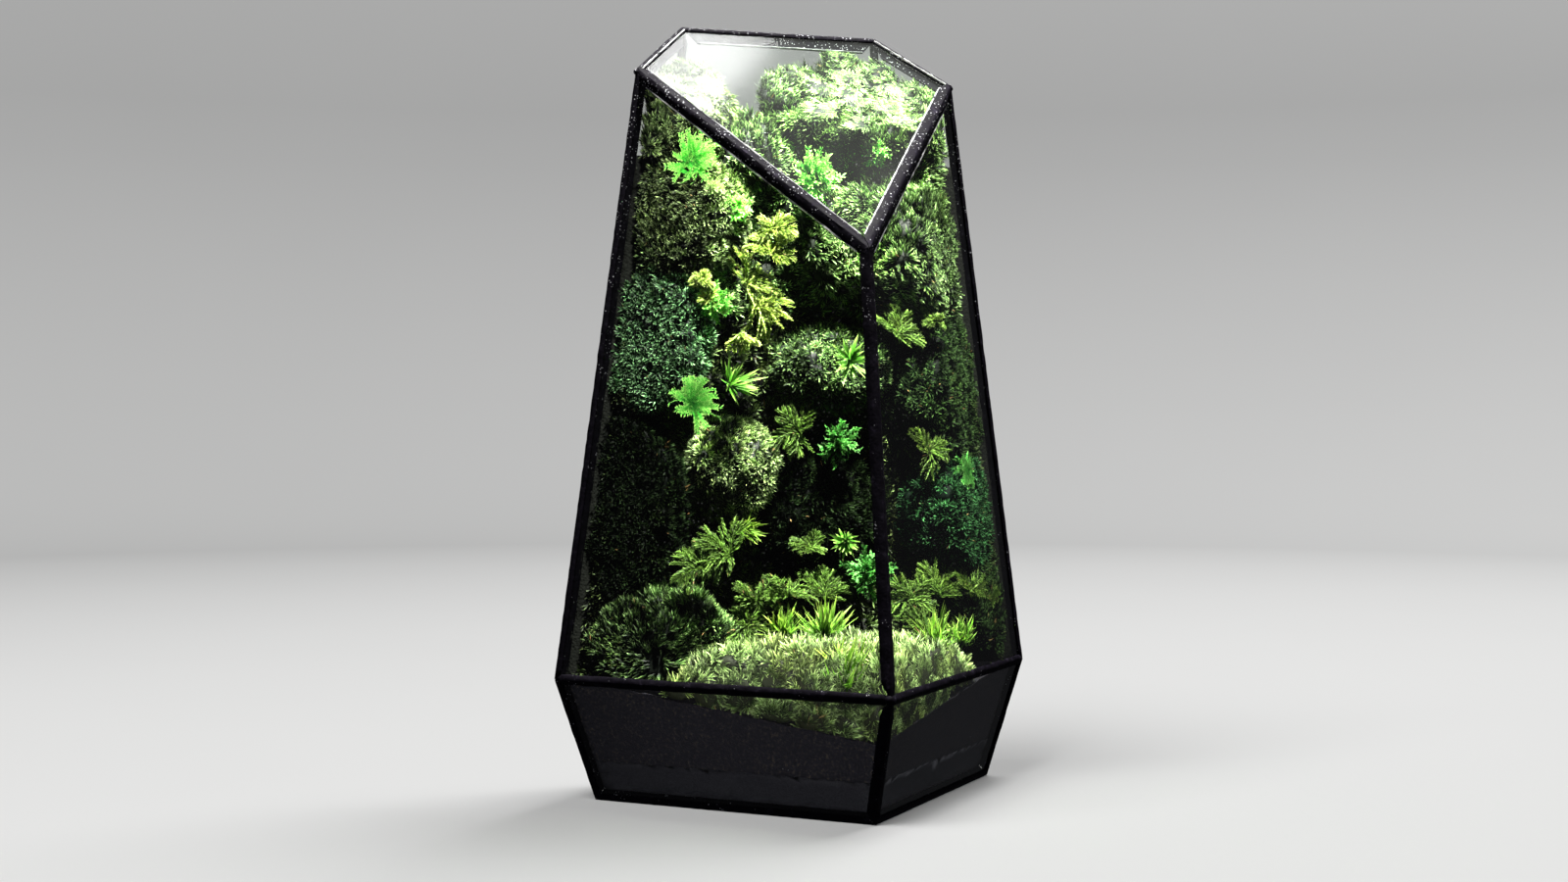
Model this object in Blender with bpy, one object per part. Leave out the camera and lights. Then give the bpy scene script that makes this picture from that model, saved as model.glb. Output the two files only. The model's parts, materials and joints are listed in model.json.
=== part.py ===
"""Preserved moss terrarium: a five-sided case of soldered glass with a sloping top, planted with moss.

Metres, +Z up. The front corner points along -Y and the flat back pane faces +Y. The origin is the
middle of the outline, on the surface that the case stands on. Everything is modelled about the
case's own axis, where the upper corners would meet if they ran on, and hangs from one empty there.
"""
import math

import bmesh
import bpy
from mathutils import Vector, noise

# Case: a square in plan, standing on one corner, with the opposite corner cut off by the back pane
AXIS_Y = 0.0355           # the case's axis lies this far behind the middle of the outline
WAIST_SIDE = 0.1535       # side of the square at the waist, over the glass
REAR_SHARE = 0.346        # share of a full side that each rear side keeps beside the flat back
WAIST_Z = 0.0524          # height of the waist, where the lower panes meet the upper ones
BASE_SCALE = 0.839        # base outline over waist outline
APEX_Z = 0.834            # height at which the upper corners would meet
TOP_Z = 0.3119            # height of the sloping top on the axis
TOP_SLOPE = 0.958         # rise of the sloping top towards the back, per metre

# Glass and solder
GLASS = 0.0020            # pane thickness
EDGE_GAP = 0.0012         # gap between the mitred edges of two panes
CLEAR = 0.0003            # gap left between touching pieces
CROWN = 0.0008            # height of a seam's bead over the glass
INNER_CROWN = 0.0006      # height of the bead inside the case
FLANGE = 0.0038           # width of a front seam over each pane
SLIM_FLANGE = 0.0018      # the seams at the sides, the back and the base are narrower
WAIST_FLANGE = 0.0022     # and so is the waist seam
INNER_SHARE = 0.4         # width of the bead inside the case beyond its fillet, as a share of the flange
PROUD = CLEAR + CROWN     # the seams stand this far outside the glass

# Planting: foam and soil that the moss sits on
BOARD_TOP = 0.0165        # top of the foam board on the base pane
SOIL_SLOPE = 0.213        # rise of the soil towards the back, per metre
FOAM_FRONT = 0.0          # front face of the foam core behind the moss, measured from the axis
FOAM_TOP = 0.275
CARPET_BACK = -0.030      # the moss carpet covers the soil in front of this
CARPET_TOP = 0.067

# Moss cushions: centre from the case's axis and half sizes, and whether they rest on the
# foam core's front, on its top or on the soil
CUSHIONS = {
    "moss_top_left": ((-0.054, 0.003, 0.296), (0.022, 0.023, 0.029), "top"),
    "moss_upper_left": ((-0.052, -0.006, 0.249), (0.027, 0.020, 0.029), "front"),
    "moss_middle_left": ((-0.068, -0.008, 0.195), (0.025, 0.021, 0.032), "front"),
    "moss_low_left": ((-0.078, -0.007, 0.126), (0.024, 0.020, 0.042), "front"),
    "moss_floor_left": ((-0.066, -0.014, 0.070), (0.034, 0.020, 0.021), "soil"),
    "moss_centre_left": ((-0.034, -0.007, 0.141), (0.021, 0.021, 0.022), "front"),
    "moss_top_right": ((0.034, 0.002, 0.304), (0.052, 0.027, 0.034), "top"),
    "moss_upper_right": ((0.038, -0.006, 0.237), (0.051, 0.024, 0.031), "front"),
    "moss_centre": ((0.012, -0.008, 0.184), (0.027, 0.022, 0.019), "front"),
    "moss_low_centre": ((0.006, -0.004, 0.124), (0.034, 0.018, 0.034), "front"),
    "moss_middle_right": ((0.068, -0.007, 0.174), (0.026, 0.020, 0.036), "front"),
    "moss_low_right": ((0.072, -0.008, 0.121), (0.028, 0.022, 0.026), "front"),
    "moss_floor_right": ((0.086, -0.008, 0.078), (0.020, 0.018, 0.022), "soil"),
}

# Looser plants between the cushions, in the same form
PLANTS = {
    "fern_valley": ((-0.018, -0.012, 0.222), (0.022, 0.017, 0.028), "front"),
    "fern_low_left": ((-0.036, -0.015, 0.098), (0.024, 0.017, 0.022), "front"),
    "star_moss": ((0.015, -0.030, 0.192), (0.011, 0.007, 0.011), "front"),
    "dyed_tuft_left": ((-0.053, -0.020, 0.169), (0.012, 0.013, 0.012), "front"),
    "dyed_tuft_right": ((0.024, -0.020, 0.096), (0.013, 0.013, 0.012), "front"),
    "grass_tuft": ((0.005, -0.045, 0.076), (0.015, 0.014, 0.013), "carpet"),
}

CORNERS = ["front", "right", "back_right", "back_left", "left"]
WALLS = ["front_right", "rear_right", "back", "rear_left", "front_left"]   # wall i leaves corner i


class Plane:
    """A half-space: the points whose distance along normal is no more than offset."""

    def __init__(self, normal, offset):
        self.normal = Vector(normal).normalized()
        self.offset = offset

    def moved(self, distance):
        return Plane(self.normal, self.offset + distance)

    def flipped(self):
        return Plane(-self.normal, -self.offset)


def plane_through(a, b, c, inside):
    """The plane through three points, facing away from the point inside."""
    normal = (b - a).cross(c - a).normalized()
    if normal.dot(a - inside) < 0:
        normal = -normal
    return Plane(normal, normal.dot(a))


def half_way(one, other, gap):
    """The mitre plane between two faces, which keeps half the gap clear on the side of one."""
    across = other.normal - one.normal
    offset = (other.offset - one.offset) / across.length
    return Plane(across, offset - gap / 2)


# ---- the case's outline -------------------------------------------------------------------------

def plan_corners():
    """The waist outline: a square on its corner, with the back corner cut."""
    reach = WAIST_SIDE / math.sqrt(2)
    rear = REAR_SHARE * WAIST_SIDE / math.sqrt(2)
    return [Vector((0, -reach)), Vector((reach, 0)), Vector((reach - rear, rear)),
            Vector((rear - reach, rear)), Vector((-reach, 0))]


def rings():
    """The corner points of the base, the waist and the sloping top."""
    plan = plan_corners()
    base = [Vector((*(p * BASE_SCALE), PROUD)) for p in plan]
    waist = [Vector((*p, WAIST_Z)) for p in plan]
    top = []
    for p in plan:
        share = (TOP_Z + TOP_SLOPE * p.y - WAIST_Z) / (APEX_Z - WAIST_Z + TOP_SLOPE * p.y)
        top.append(Vector((*(p * (1 - share)), WAIST_Z + share * (APEX_Z - WAIST_Z))))
    return {"base": base, "waist": waist, "top": top}


def glass_faces(ring):
    """The outer plane of every pane, by the pane's name."""
    middle = Vector((0, 0, 0.15))
    faces = {"base_pane": plane_through(*ring["base"][:3], middle),
             "top_pane": plane_through(*ring["top"][:3], middle)}
    for i, wall in enumerate(WALLS):
        j = (i + 1) % len(WALLS)
        faces[f"lower_pane_{wall}"] = plane_through(
            ring["base"][i], ring["base"][j], ring["waist"][i], middle)
        faces[f"upper_pane_{wall}"] = plane_through(
            ring["waist"][i], ring["waist"][j], ring["top"][i], middle)
    return faces


def case_edges():
    """Every seam: its name, its two panes, its two ends as (ring, corner), and its flange width."""
    edges = []
    for i, wall in enumerate(WALLS):
        j = (i + 1) % len(WALLS)
        upper, lower = f"upper_pane_{wall}", f"lower_pane_{wall}"
        upper_before, lower_before = f"upper_pane_{WALLS[i - 1]}", f"lower_pane_{WALLS[i - 1]}"
        top_flange = FLANGE if wall.startswith("front") else SLIM_FLANGE
        side_flange = FLANGE if CORNERS[i] == "front" else SLIM_FLANGE
        edges += [
            (f"seam_top_{wall}", upper, "top_pane", ("top", i), ("top", j), top_flange),
            (f"seam_waist_{wall}", upper, lower, ("waist", i), ("waist", j), WAIST_FLANGE),
            (f"seam_base_{wall}", lower, "base_pane", ("base", i), ("base", j), SLIM_FLANGE),
            (f"seam_upper_{CORNERS[i]}", upper, upper_before, ("waist", i), ("top", i), side_flange),
            (f"seam_lower_{CORNERS[i]}", lower, lower_before, ("base", i), ("waist", i), side_flange),
        ]
    return edges


# ---- building solids ----------------------------------------------------------------------------

def cut(bm, plane):
    """Cuts a solid by a plane, keeps the side within it and closes the cut."""
    result = bmesh.ops.bisect_plane(
        bm, geom=bm.verts[:] + bm.edges[:] + bm.faces[:], dist=1e-7,
        plane_co=plane.normal * plane.offset, plane_no=plane.normal, clear_outer=True)
    edges = [g for g in result["geom_cut"] if isinstance(g, bmesh.types.BMEdge)]
    if edges:
        bmesh.ops.contextual_create(bm, geom=edges)


def finish_mesh(bm, name, material, parent, sharp_from=0):
    """Turns a bmesh into a named object under the case's axis, smooth up to a sharp angle."""
    bmesh.ops.remove_doubles(bm, verts=bm.verts, dist=1e-6)
    bmesh.ops.recalc_face_normals(bm, faces=bm.faces)
    bmesh.ops.triangulate(bm, faces=[f for f in bm.faces if len(f.verts) > 4])
    mesh = bpy.data.meshes.new(name)
    bm.to_mesh(mesh)
    bm.free()
    if sharp_from:
        mesh.shade_smooth()
        mesh.set_sharp_from_angle(angle=math.radians(sharp_from))
    mesh.materials.append(material)
    body = bpy.data.objects.new(name, mesh)
    body.parent = parent
    bpy.context.scene.collection.objects.link(body)
    return body


def convex_solid(name, planes, material, parent):
    """The solid that a set of half-spaces encloses."""
    bm = bmesh.new()
    bmesh.ops.create_cube(bm, size=1.0)
    for plane in planes:
        cut(bm, plane)
    return finish_mesh(bm, name, material, parent)


def pane(name, faces, neighbours, material, parent):
    """A pane of glass, its edges mitred against the panes around it."""
    outer = faces[name]
    planes = [outer, outer.moved(-GLASS).flipped()]
    planes += [half_way(outer, faces[other], EDGE_GAP) for other in neighbours]
    return convex_solid(name, planes, material, parent)


# ---- solder seams -------------------------------------------------------------------------------

class Section:
    """The cross-section of the seam between two panes, clasping both from outside and inside."""

    def __init__(self, one, other, flange):
        self.out = (one.normal + other.normal).normalized()
        self.side = (one.normal - other.normal).normalized()
        half_angle = math.acos(max(-1, min(1, one.normal.dot(other.normal)))) / 2
        self.sin, self.cos = math.cos(half_angle), math.sin(half_angle)   # of half the inner angle
        self.flange = flange
        self.inner_flange = INNER_SHARE * flange
        self.web = EDGE_GAP / 2 - CLEAR

    def point(self, along, lift):
        """A point this far along a pane from its edge and this high over its outer face."""
        return Vector((along * self.sin + lift * self.cos, lift * self.sin - along * self.cos))

    def web_at(self, lift):
        """How far along the pane the web's side reaches the given height."""
        return (self.web - lift * self.cos) / self.sin

    def depth(self):
        """How deep the bead reaches into the case, from the panes' meeting line."""
        root = self.web_at(-GLASS - CLEAR)
        foot = self.point(root + self.inner_flange, -GLASS - CLEAR)
        crown = self.point(root, -GLASS - CLEAR - INNER_CROWN)
        return max(-foot.y, -crown.y)

    def outline(self, flat_side):
        """The closed outline as (sideways, outward) points, starting at the crown's middle.

        flat_side is -1 where the second pane's bead is dressed flat to stand on, or else 0.
        """
        domed = [(0.30, 0.95), (0.62, 0.72), (0.88, 0.38), (1.0, 0.12)]
        flat = [(0.30, 1.0), (0.62, 1.0), (0.88, 1.0), (1.0, 0.8)]
        inside = -GLASS - CLEAR
        root = self.web_at(inside)
        halves = []
        for sign in (1, -1):
            bead = flat if sign == flat_side else domed
            half = [self.point(a * self.flange, CLEAR + h * CROWN) for a, h in bead]
            half += [self.point(self.flange, CLEAR), self.point(self.web_at(CLEAR), CLEAR),
                     self.point(root, inside), self.point(root + self.inner_flange, inside),
                     self.point(root + self.inner_flange, inside - INNER_CROWN / 4)]
            halves.append([Vector((p.x * sign, p.y)) for p in half])
        crown = Vector((0, PROUD))
        throat = Vector((0, -self.depth()))
        return [crown] + halves[0] + [throat] + halves[1][::-1]


def beside(one, other, third):
    """Keeps a seam between two panes clear of a third pane that meets its end."""
    normal = third.normal - (one.normal + other.normal) / 2
    offset = third.offset - (one.offset + other.offset) / 2
    return Plane(normal, offset / normal.length)


def seam(edge, faces, ring, meeting, material, parent):
    """One solder seam, from corner to corner, mitred against the seams and panes it meets."""
    name, one, other, start, end, flange = edge
    a, b = (ring[level][corner] for level, corner in (start, end))
    section = Section(faces[one], faces[other], flange)
    outline = section.outline(-1 if other == "base_pane" else 0)
    run = (b - a).normalized()
    spare = 0.02
    bm = bmesh.new()
    loops = []
    for origin in (a - run * spare, b + run * spare):
        loops.append([bm.verts.new(origin + section.side * p.x + section.out * p.y) for p in outline])
    count = len(outline)
    for i in range(count):
        j = (i + 1) % count
        bm.faces.new((loops[0][i], loops[0][j], loops[1][j], loops[1][i]))
    bm.faces.new(loops[0][::-1])
    bm.faces.new(loops[1])
    for corner, leaving in ((start, run), (end, -run)):
        point = ring[corner[0]][corner[1]]
        for direction in meeting[corner]["runs"]:
            if direction.dot(leaving) < 0.999:
                away = (direction - leaving).normalized()
                cut(bm, Plane(away, away.dot(point) - CLEAR / 2))
        for third in sorted(meeting[corner]["panes"] - {one, other}):
            cut(bm, beside(faces[one], faces[other], faces[third]))
    return finish_mesh(bm, name, material, parent, sharp_from=35)


# ---- planting -----------------------------------------------------------------------------------

def inside_case(edges, faces, ring):
    """The half-spaces that keep the planting clear of the glass and of the seams inside it."""
    margin = CLEAR + INNER_CROWN + CLEAR
    planes = [face.moved(-GLASS - margin) for face in faces.values()]
    for _, one, other, start, _, flange in edges:
        section = Section(faces[one], faces[other], flange)
        corner = ring[start[0]][start[1]]
        planes.append(Plane(section.out, section.out.dot(corner) - section.depth() - CLEAR))
    return planes


def reach(half_size, direction):
    """How far an ellipsoid of these half sizes reaches along a direction."""
    return math.sqrt(sum((s * d) ** 2 for s, d in zip(half_size, direction)))


def apart(clump, other):
    """The plane between two clumps, nearer the smaller one."""
    (centre, size, _), (other_centre, other_size, _) = clump, other
    way = Vector(other_centre) - Vector(centre)
    mine, theirs = reach(size, way.normalized()), reach(other_size, way.normalized())
    point = Vector(centre) + way * mine / (mine + theirs)
    return Plane(way, way.normalized().dot(point) - CLEAR / 2)


def supports(rest):
    """The half-spaces of what a clump leans on or sits on."""
    soil_normal = Vector((0, -SOIL_SLOPE, 1)).normalized()
    soil = Plane(-soil_normal, -soil_normal.z * WAIST_Z - CLEAR)
    front = Plane((0, 1, 0), FOAM_FRONT)
    return {"top": [Plane((0, 0, -1), -FOAM_TOP - CLEAR)],
            "front": [front, soil],
            "soil": [front, soil, Plane((0, -1, 0), -CARPET_BACK - CLEAR)],
            "carpet": [Plane((0, 0, -1), -CARPET_TOP - CLEAR)]}[rest]


def grow(name, clump, planes, swell, material, parent, fineness=3):
    """A clump: points pushed out from its centre as far as its swell and the planes allow."""
    centre, size, _ = clump
    centre = Vector(centre)
    bm = bmesh.new()
    bmesh.ops.create_icosphere(bm, subdivisions=fineness, radius=1.0)
    for vert in bm.verts:
        ray = vert.co.normalized()
        length = swell(vert.index, ray) / math.sqrt(sum((d / s) ** 2 for s, d in zip(size, ray)))
        for plane in planes:
            toward = plane.normal.dot(ray)
            if toward > 1e-6:
                length = min(length, (plane.offset - plane.normal.dot(centre)) / toward)
        vert.co = ray * length
    body = finish_mesh(bm, name, material, parent, sharp_from=60)
    body.location = centre
    return body


def cushion_swell(seed):
    """The lumpy surface of a moss cushion."""
    def swell(_, ray):
        return 0.96 + 0.10 * noise.noise(ray * 2.2 + Vector((seed * 7.3, 0, 0)))
    return swell


def plant_swell(index, _):
    """The ragged surface of a loose plant: leaf tips with hollows between them."""
    return 1.0 if index % 4 == 0 else 0.62


def planting(edges, faces, ring, looks, parent):
    """Board, soil, foam core, carpet, cushions and plants."""
    walls = inside_case(edges, faces, ring)
    soil_normal = Vector((0, -SOIL_SLOPE, 1)).normalized()
    soil = Plane(soil_normal, soil_normal.z * WAIST_Z)
    over_soil = soil.moved(CLEAR).flipped()
    board_top = Plane((0, 0, 1), BOARD_TOP)
    convex_solid("base_board", walls + [board_top], looks["board"], parent)
    convex_solid("soil_bed", walls + [board_top.moved(CLEAR).flipped(), soil], looks["soil"], parent)
    foam = [Plane((0, -1, 0), -FOAM_FRONT - CLEAR), Plane((0, 0, 1), FOAM_TOP), over_soil]
    convex_solid("foam_core", walls + foam, looks["foam"], parent)

    carpet = ((0, -0.056, 0.051), (0.16, 0.16, 0.019), "carpet")
    bounds = [over_soil, Plane((0, 0, 1), CARPET_TOP), Plane((0, 1, 0), CARPET_BACK)]
    swell = cushion_swell(0)
    grow("moss_carpet", carpet, walls + bounds, swell, looks["moss_carpet"], parent, fineness=4)

    clumps = {**CUSHIONS, **PLANTS}
    for seed, (name, clump) in enumerate(clumps.items(), start=1):
        others = [apart(clump, other) for key, other in clumps.items() if key != name]
        swell = cushion_swell(seed) if name in CUSHIONS else plant_swell
        look = looks["moss"] if name in CUSHIONS else looks[name.split("_")[0]]
        grow(name, clump, walls + supports(clump[2]) + others, swell, look, parent)


# ---- materials and the whole --------------------------------------------------------------------

def principled(name, colour, roughness, metallic=0.0, alpha=1.0):
    material = bpy.data.materials.new(name)
    material.use_nodes = True
    material.diffuse_color = (*colour, alpha)
    shader = material.node_tree.nodes["Principled BSDF"]
    shader.inputs["Base Color"].default_value = (*colour, 1)
    shader.inputs["Roughness"].default_value = roughness
    shader.inputs["Metallic"].default_value = metallic
    shader.inputs["Alpha"].default_value = alpha
    return material


def materials():
    return {
        "glass": principled("clear_glass", (0.80, 0.88, 0.85), 0.03, alpha=0.25),
        "solder": principled("black_solder", (0.035, 0.030, 0.040), 0.35, metallic=0.9),
        "board": principled("black_foam_board", (0.012, 0.012, 0.012), 0.9),
        "soil": principled("dark_soil", (0.020, 0.015, 0.010), 0.95),
        "foam": principled("dark_foam", (0.020, 0.022, 0.016), 0.95),
        "moss_carpet": principled("pale_moss", (0.27, 0.33, 0.17), 0.9),
        "moss": principled("cushion_moss", (0.13, 0.19, 0.07), 0.9),
        "fern": principled("fern_moss", (0.33, 0.42, 0.08), 0.8),
        "star": principled("haircap_moss", (0.22, 0.42, 0.06), 0.7),
        "dyed": principled("dyed_moss", (0.05, 0.42, 0.08), 0.8),
        "grass": principled("grassy_moss", (0.30, 0.42, 0.07), 0.8),
    }


def build():
    for old in list(bpy.data.objects):
        bpy.data.objects.remove(old, do_unlink=True)
    axis = bpy.data.objects.new("case_axis", None)
    axis.location = (0, AXIS_Y, 0)
    bpy.context.scene.collection.objects.link(axis)

    ring = rings()
    faces = glass_faces(ring)
    edges = case_edges()
    looks = materials()
    neighbours = {name: [] for name in faces}
    meeting = {(level, corner): {"runs": [], "panes": set()} for level in ring for corner in range(5)}
    for _, one, other, start, end, _ in edges:
        neighbours[one].append(other)
        neighbours[other].append(one)
        a, b = (ring[level][corner] for level, corner in (start, end))
        meeting[start]["runs"].append((b - a).normalized())
        meeting[end]["runs"].append((a - b).normalized())
        meeting[start]["panes"] |= {one, other}
        meeting[end]["panes"] |= {one, other}

    for name in faces:
        pane(name, faces, neighbours[name], looks["glass"], axis)
    for edge in edges:
        seam(edge, faces, ring, meeting, looks["solder"], axis)
    planting(edges, faces, ring, looks, axis)


build()
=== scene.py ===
"""The looks of a preserved moss terrarium: a faceted glass case, soldered at its edges, with a wall of moss.

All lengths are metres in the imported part's own frame, and every place is worked out from a CAD node's box.
Plants are real leaves: each one is a small folded blade, gathered by the thousand into one mesh per plant.
"""

import json
import math
from collections import namedtuple

import bmesh
import bpy
import numpy as np
from mathutils import Matrix, Vector
from numpy.linalg import norm

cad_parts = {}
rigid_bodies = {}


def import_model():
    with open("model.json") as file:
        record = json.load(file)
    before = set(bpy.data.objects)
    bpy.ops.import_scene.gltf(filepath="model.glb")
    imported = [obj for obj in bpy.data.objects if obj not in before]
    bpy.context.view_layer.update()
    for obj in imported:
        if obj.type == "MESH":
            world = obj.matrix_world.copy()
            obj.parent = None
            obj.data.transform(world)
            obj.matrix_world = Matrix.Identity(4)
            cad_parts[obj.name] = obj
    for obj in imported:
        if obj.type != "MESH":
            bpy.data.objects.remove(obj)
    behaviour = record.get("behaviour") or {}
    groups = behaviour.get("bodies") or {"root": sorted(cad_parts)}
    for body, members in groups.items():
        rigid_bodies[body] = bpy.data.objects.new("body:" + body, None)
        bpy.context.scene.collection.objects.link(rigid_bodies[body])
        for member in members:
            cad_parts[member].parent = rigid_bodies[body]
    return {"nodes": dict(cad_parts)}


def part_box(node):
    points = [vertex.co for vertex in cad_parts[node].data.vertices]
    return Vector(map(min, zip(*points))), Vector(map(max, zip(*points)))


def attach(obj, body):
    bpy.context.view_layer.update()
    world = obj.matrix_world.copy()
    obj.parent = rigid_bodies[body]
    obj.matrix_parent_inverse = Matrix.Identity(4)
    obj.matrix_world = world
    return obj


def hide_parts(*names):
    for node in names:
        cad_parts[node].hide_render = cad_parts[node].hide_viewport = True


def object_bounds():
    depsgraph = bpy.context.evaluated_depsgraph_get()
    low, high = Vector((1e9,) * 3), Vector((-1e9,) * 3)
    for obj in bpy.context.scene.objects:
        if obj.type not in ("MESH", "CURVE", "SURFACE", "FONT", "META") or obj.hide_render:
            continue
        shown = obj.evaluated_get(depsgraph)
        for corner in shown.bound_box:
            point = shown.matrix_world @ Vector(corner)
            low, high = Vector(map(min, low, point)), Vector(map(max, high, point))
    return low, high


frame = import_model()
CAD_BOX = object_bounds()
NODES = frame["nodes"]

MM = 0.001
UP = np.array((0.0, 0.0, 1.0))
GLASS_GAP = 0.3 * MM  # what every leaf keeps to the glass
WITHERED = 0.004  # the share of moss leaves that are dead, with the tone 0
FOLD = 0.45  # how far a leaf's edges stand off its midrib, in half widths
RIM = 0.35 * MM  # the radius of the bright line along a seam
ROD_SIDES = 5  # the flat sides of that line
SPREAD = 2.5 * MM  # how far soil, foam and board are spread sideways, up to the glass
PAINTED_LIGHT_SIDE = np.array((0.30, -0.66, 0.69))  # the side the light falls from: moss facing it is painted lighter, moss facing away painted darker
SINES = 9  # how many sine waves make one random field
STEM_ROWS = (0.0, math.pi, 1.4, 4.6)  # the angles round a stem of its rows of leaves
STEM_LEAN = 0.48  # how far those leaves lean out, in radians
FINGER_STEPS = 9  # the rounds of leaves on a finger of a frond
FROND_LEAF = (2.7 * MM, 0.75 * MM)  # their length and width


# ---- vectors and random fields


def unit(vectors):
    """Each row scaled to length one."""
    return vectors / np.maximum(norm(vectors, axis=-1, keepdims=True), 1e-12)


def across(axes, hints):
    """For each axis a unit vector square to it, as near as can be to the hint."""
    return unit(hints - axes * np.sum(axes * hints, axis=-1, keepdims=True))


def waves(points, size, seed):
    """A smooth random value, mostly between -1 and 1, that changes over about size."""
    rng = np.random.default_rng(seed)
    directions = unit(rng.normal(size=(SINES, 3))) * rng.uniform(0.6, 1.6, (SINES, 1))
    phases = rng.uniform(0, math.tau, SINES)
    values = np.sin(points @ directions.T * (math.pi / size) + phases)
    return values.sum(axis=1) * 0.6 / math.sqrt(SINES / 2)


def turned(first, second, angle):
    """The direction first, turned by each angle towards second, which is about square to it."""
    return first * np.cos(angle)[..., None] + second * np.sin(angle)[..., None]


def rows_of(vertices):
    """The places of a mesh's vertices, one row each."""
    return np.array([vertex.co for vertex in vertices])


def corners_of(name):
    return rows_of(NODES[name].data.vertices)


# ---- the case as planes


def pane_planes():
    """(outward normal, distance) of the inner face of each pane."""
    middle = np.mean(CAD_BOX, axis=0)
    planes = []
    for name in sorted(n for n in NODES if "_pane" in n):
        corners = corners_of(name)
        normal = np.array(max(NODES[name].data.polygons, key=lambda face: face.area).normal)
        if (corners.mean(axis=0) - middle) @ normal < 0:
            normal = -normal
        planes.append((normal, (corners @ normal).min()))
    return planes


PANES = pane_planes()


def keep_inside(points, gap=GLASS_GAP):
    """Points that had passed the glass, moved back inside."""
    for _ in range(2):
        for normal, distance in PANES:
            over = np.maximum(points @ normal - distance + gap, 0)
            points = points - over[:, None] * normal
    return points


def box_of(name):
    """The low and the high corner of a node's box."""
    low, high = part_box(name)
    return np.array(low), np.array(high)


def spot(name, right, back, up):
    """A point in a node's box: 0 is its left, front or bottom side and 1 the other one."""
    low, high = box_of(name)
    return low + (high - low) * np.array((right, back, up))


AXIS_Y = spot("seam_upper_left", 0.5, 0.5, 0.5)[1]  # the side corners lie beside the axis
MIDDLE = np.array((0.0, AXIS_Y, 0.17))


def settled(points, gap=GLASS_GAP):
    """A filling's points spread sideways to the glass, right into the corners."""
    away = (points - MIDDLE) * (1.0, 1.0, 0.0)
    return keep_inside(points + unit(away) * SPREAD, gap)


# ---- surfaces as arrays


def welded(name):
    """A CAD node's mesh, joined up where its faces meet."""
    bm = bmesh.new()
    bm.from_mesh(NODES[name].data)
    bmesh.ops.remove_doubles(bm, verts=bm.verts, dist=1e-6)
    return bm


def arrays(bm):
    """The points and faces of a mesh, which is then freed."""
    points = rows_of(bm.verts)
    faces = np.array([[vertex.index for vertex in face.verts] for face in bm.faces])
    bm.free()
    return points, faces


def long_axis(corners):
    """The middle of a long thin shape, and the way that it runs."""
    middle = corners.mean(axis=0)
    return middle, np.linalg.svd(corners - middle)[2][0]


def refined(name, size):
    """A CAD node's surface as points and triangles, with no edge much longer than size."""
    bm = welded(name)
    bmesh.ops.triangulate(bm, faces=bm.faces)
    for _ in range(9):
        long_edges = [edge for edge in bm.edges if edge.calc_length() > size]
        if not long_edges:
            break
        bmesh.ops.subdivide_edges(bm, edges=long_edges, cuts=1)
        bmesh.ops.triangulate(bm, faces=bm.faces)
    return arrays(bm)


def sliced(name, step):
    """The same for a long CAD node, cut across its length at every step."""
    bm = welded(name)
    corners = rows_of(bm.verts)
    middle, way = long_axis(corners)
    reach = np.abs((corners - middle) @ way).max()
    count = int(2 * reach / step)
    for k in range(1, count):
        place = middle + way * reach * (2 * k / count - 1)
        everything = bm.verts[:] + bm.edges[:] + bm.faces[:]
        bmesh.ops.bisect_plane(bm, geom=everything, plane_co=place, plane_no=way)
    bmesh.ops.triangulate(bm, faces=bm.faces)
    return arrays(bm)


def face_vectors(points, faces):
    """Each triangle's normal, as long as twice its area."""
    a, b, c = (points[faces[:, k]] for k in range(3))
    return np.cross(b - a, c - a)


def normals_of(points, faces):
    """Each point's normal, the mean of its triangles' by area."""
    total = np.zeros_like(points)
    vectors = face_vectors(points, faces)
    for k in range(3):
        np.add.at(total, faces[:, k], vectors)
    return unit(total)


def spread(points, distance, rng):
    """Some of the points, taken at random, that are no nearer to each other than distance."""
    chosen = []
    for point in points[rng.permutation(len(points))]:
        if not chosen or np.min(norm(np.array(chosen) - point, axis=1)) > distance:
            chosen.append(point)
    return np.array(chosen)


def mounds(points, centres):
    """1 at the crown of each centre's dome, falling to 0 in the creases between domes."""
    gaps = norm(points[:, None] - centres[None], axis=2)
    nearest = np.sort(gaps, axis=1)[:, :2]
    return np.sqrt(np.maximum(1 - (nearest[:, 0] / nearest[:, 1]) ** 2, 0))


def scatter(points, faces, weights, count, rng):
    """Random places on a surface: the triangle and the three corner shares of each one."""
    areas = norm(face_vectors(points, faces), axis=1) * weights
    chosen = rng.choice(len(faces), size=count, p=areas / areas.sum())
    u, v = rng.random((2, count))
    folded = u + v > 1
    u[folded], v[folded] = 1 - u[folded], 1 - v[folded]
    return chosen, np.stack((1 - u - v, u, v), axis=1)


def read_at(values, faces, chosen, shares):
    """A surface's values at its points, read at scattered places."""
    return np.einsum("ij,ij...->i...", shares, values[faces[chosen]])


# ---- leaves


def arc(base, aim, lift, length, curl, along):
    """Places and headings at shares of the way along bent stems, each bending by curl towards lift."""
    bend = np.where(np.abs(curl) < 1e-3, 1e-3, curl)[:, None]
    turn = bend * along
    ahead = np.sin(turn) / bend * length[:, None]
    off = (1 - np.cos(turn)) / bend * length[:, None]
    places = base[:, None] + aim[:, None] * ahead[..., None] + lift[:, None] * off[..., None]
    return places, turned(aim[:, None], lift[:, None], turn)


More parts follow.
